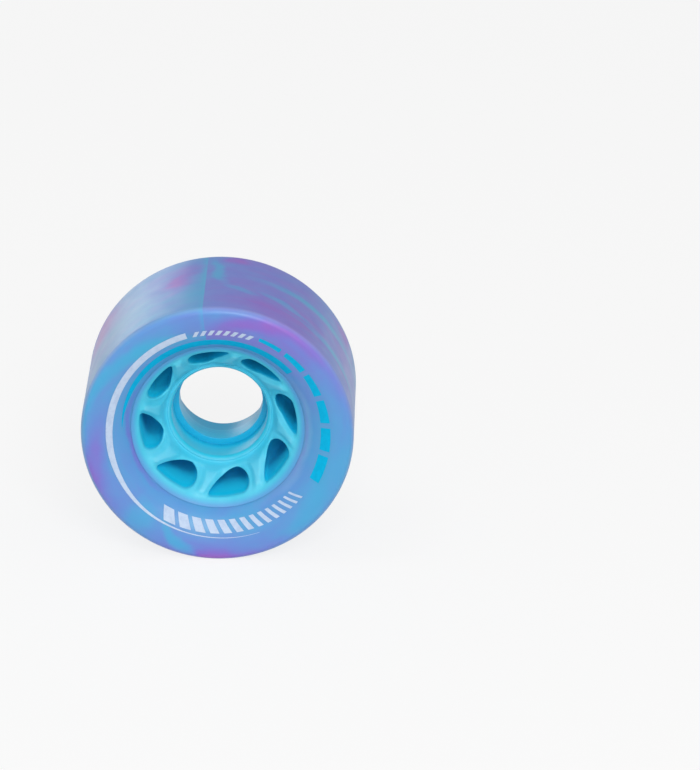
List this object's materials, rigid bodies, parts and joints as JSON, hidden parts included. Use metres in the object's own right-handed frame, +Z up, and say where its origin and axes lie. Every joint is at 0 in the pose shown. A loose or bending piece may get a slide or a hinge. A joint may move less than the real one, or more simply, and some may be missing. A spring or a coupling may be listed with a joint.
{
  "type": "roller skate wheel",
  "caption": "Bare quad roller skate wheel: a wide cast urethane tyre round a deeply dished, swirl-spoked hub with a press seat for a bearing at each end.",
  "frame": {"origin": "the wheel's centre, on the axle's line and half way across the tread", "axes": "+Y along the axle towards the inner side, so the dished front face looks to -Y; +Z up; +X to the right of someone who looks at the front face"},
  "size_m": [0.062, 0.034, 0.062],
  "materials": {
    "hub_nylon": "satin moulded nylon, bright cyan",
    "tyre_urethane": "satin cast urethane, sky blue marbled with violet",
    "white_ink": "flat pad-printed ink, white with a little of the tyre showing through",
    "cyan_ink": "flat pad-printed ink, cyan"
  },
  "bodies": {
    "root": {"hub": "hub_nylon", "tyre": "tyre_urethane"}
  },
  "joints": []
}
